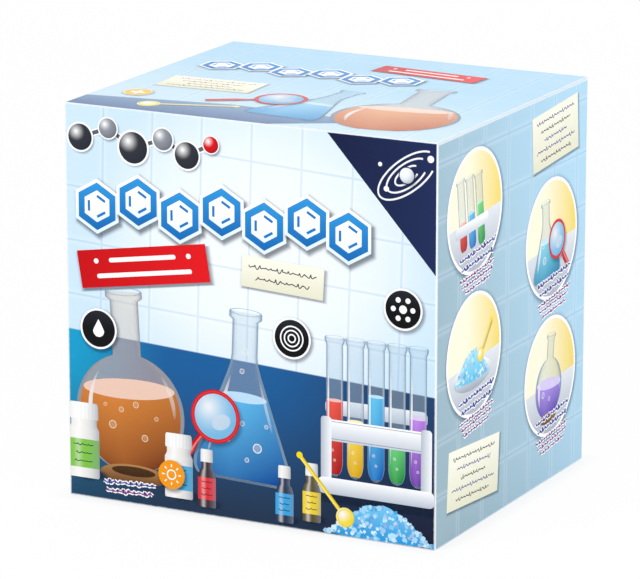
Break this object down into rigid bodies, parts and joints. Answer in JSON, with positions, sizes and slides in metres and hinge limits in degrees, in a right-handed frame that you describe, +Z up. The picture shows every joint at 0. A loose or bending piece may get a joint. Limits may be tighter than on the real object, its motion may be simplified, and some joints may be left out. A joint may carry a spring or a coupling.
{
  "type": "chemistry set case",
  "caption": "Printed folding carton with a hinged tuck-in lid, holding a card insert, a lit workstation with a lens arm, jars, dropper bottles, glassware, safety glasses and hand tools.",
  "frame": {"origin": "centre of the carton's underside", "axes": "+Z up, -Y out of the front panel, +X towards the right panel"},
  "size_m": [0.245, 0.21, 0.242],
  "materials": {
    "printed_board": "gloss",
    "plain_card": "matte",
    "printed_paper": "satin",
    "white_powder": "matte",
    "food_dye": "gloss",
    "white_polythene": "satin",
    "clear_polythene": "satin",
    "clear_plastic": "gloss",
    "frosted_plastic": "satin",
    "pale_grey_plastic": "satin",
    "circuit_laminate": "satin",
    "red_plastic": "gloss",
    "grey_plastic": "satin",
    "wood": "matte",
    "yellow_plastic": "gloss",
    "black_plastic": "satin"
  },
  "bodies": {
    "case": {"back_panel": "printed_board", "battery_cover": "pale_grey_plastic", "beaker": "clear_plastic", "booklet": "printed_paper", "bottom_flap_back": "printed_board", "bottom_flap_front": "printed_board", "bottom_flap_left": "printed_board", "bottom_flap_right": "printed_board", "circuit_board": "circuit_laminate", "dropper_nozzles": "white_polythene", "drum_window": "frosted_plastic", "dye_bottle_1": "clear_polythene", "dye_bottle_2": "clear_polythene", "dye_bottle_3": "clear_polythene", "food_dyes": "food_dye", "front_panel": "printed_board", "glasses_brow": "grey_plastic", "glasses_left_temple": "grey_plastic", "glasses_right_temple": "grey_plastic", "glasses_visor": "clear_plastic", "glue_tab": "printed_board", "insert_back_leg": "plain_card", "insert_deck": "plain_card", "insert_front_leg": "plain_card", "jar_powders": "white_powder", "leds": "frosted_plastic", "left_panel": "printed_board", "light_drum": "pale_grey_plastic", "petri_dish": "clear_plastic", "pipette": "clear_polythene", "powder_jar_1": "white_polythene", "powder_jar_2": "white_polythene", "powder_jar_3": "white_polythene", "rack_left_leg": "plain_card", "rack_plate": "plain_card", "rack_right_leg": "plain_card", "rectangular_lens": "clear_plastic", "rectangular_lens_frame": "red_plastic", "right_panel": "printed_board", "spoon": "yellow_plastic", "station_tray": "pale_grey_plastic", "tool_pot": "pale_grey_plastic", "tweezers": "black_plastic", "wooden_sticks": "wood"},
    "lid": {"lid_panel": "printed_board"},
    "tuck": {"tuck_flap": "printed_board"},
    "left_dust_flap": {"dust_flap_left": "printed_board"},
    "right_dust_flap": {"dust_flap_right": "printed_board"},
    "light_button": {"light_button": "red_plastic"},
    "arm_swivel": {"arm_swivel": "red_plastic"},
    "lower_arm": {"lower_arm": "red_plastic"},
    "round_lens": {"round_lens_frame": "red_plastic", "round_lens": "clear_plastic"},
    "powder_jar_1_cap": {"powder_jar_1_cap": "white_polythene"},
    "dye_bottle_1_cap": {"dye_bottle_1_cap": "white_polythene"},
    "powder_jar_2_cap": {"powder_jar_2_cap": "white_polythene"},
    "dye_bottle_2_cap": {"dye_bottle_2_cap": "white_polythene"},
    "powder_jar_3_cap": {"powder_jar_3_cap": "white_polythene"},
    "dye_bottle_3_cap": {"dye_bottle_3_cap": "white_polythene"}
  },
  "joints": [
    {"name": "lid_hinge", "type": "hinge", "parent": "case", "child": "lid", "pos_m": [0, 0.105, 0.2408], "axis": [-1, 0, 0], "range_deg": [0, 180]},
    {"name": "tuck_fold", "type": "hinge", "parent": "lid", "child": "tuck", "pos_m": [0, -0.1034, 0.2408], "axis": [-1, 0, 0], "range_deg": [0, 72]},
    {"name": "left_dust_fold", "type": "hinge", "parent": "case", "child": "left_dust_flap", "pos_m": [-0.1213, 0, 0.2408], "axis": [0, -1, 0], "range_deg": [0, 90]},
    {"name": "right_dust_fold", "type": "hinge", "parent": "case", "child": "right_dust_flap", "pos_m": [0.1213, 0, 0.2408], "axis": [0, 1, 0], "range_deg": [0, 90]},
    {"name": "button_press", "type": "slide", "parent": "case", "child": "light_button", "axis": [0, 0, -1], "range_m": [0, 0.0015], "stiffness_N_per_m": 200},
    {"name": "arm_turn", "type": "hinge", "parent": "case", "child": "arm_swivel", "pos_m": [0.00146, -0.07188, 0.102], "axis": [0, 0, 1], "range_deg": [-25, 35]},
    {"name": "arm_lean", "type": "hinge", "parent": "arm_swivel", "child": "lower_arm", "pos_m": [0.00146, -0.07188, 0.111], "axis": [0.5736, 0.8192, 0], "range_deg": [-5, 20]},
    {"name": "lens_tilt", "type": "hinge", "parent": "lower_arm", "child": "round_lens", "pos_m": [0.00861, -0.07689, 0.15208], "axis": [0.5736, 0.8192, 0], "range_deg": [-10, 20]},
    {"name": "powder_jar_1_cap_turn", "type": "hinge", "parent": "case", "child": "powder_jar_1_cap", "pos_m": [0.0977, -0.0776, 0.131], "axis": [0, 0, 1], "range_deg": [0, 90]},
    {"name": "dye_bottle_1_cap_turn", "type": "hinge", "parent": "case", "child": "dye_bottle_1_cap", "pos_m": [0.064, -0.0776, 0.1195], "axis": [0, 0, 1], "range_deg": [0, 90]},
    {"name": "powder_jar_2_cap_turn", "type": "hinge", "parent": "case", "child": "powder_jar_2_cap", "pos_m": [0.0977, -0.0384, 0.131], "axis": [0, 0, 1], "range_deg": [0, 90]},
    {"name": "dye_bottle_2_cap_turn", "type": "hinge", "parent": "case", "child": "dye_bottle_2_cap", "pos_m": [0.064, -0.0384, 0.1195], "axis": [0, 0, 1], "range_deg": [0, 90]},
    {"name": "powder_jar_3_cap_turn", "type": "hinge", "parent": "case", "child": "powder_jar_3_cap", "pos_m": [0.0977, 0.0008, 0.131], "axis": [0, 0, 1], "range_deg": [0, 90]},
    {"name": "dye_bottle_3_cap_turn", "type": "hinge", "parent": "case", "child": "dye_bottle_3_cap", "pos_m": [0.064, 0.0008, 0.1195], "axis": [0, 0, 1], "range_deg": [0, 90]}
  ],
  "couplings": [
    {"joint": "tuck_fold", "follows": "lid_hinge", "ratio": 0.4},
    {"joint": "left_dust_fold", "follows": "lid_hinge", "ratio": 0.5},
    {"joint": "right_dust_fold", "follows": "lid_hinge", "ratio": 0.5}
  ]
}
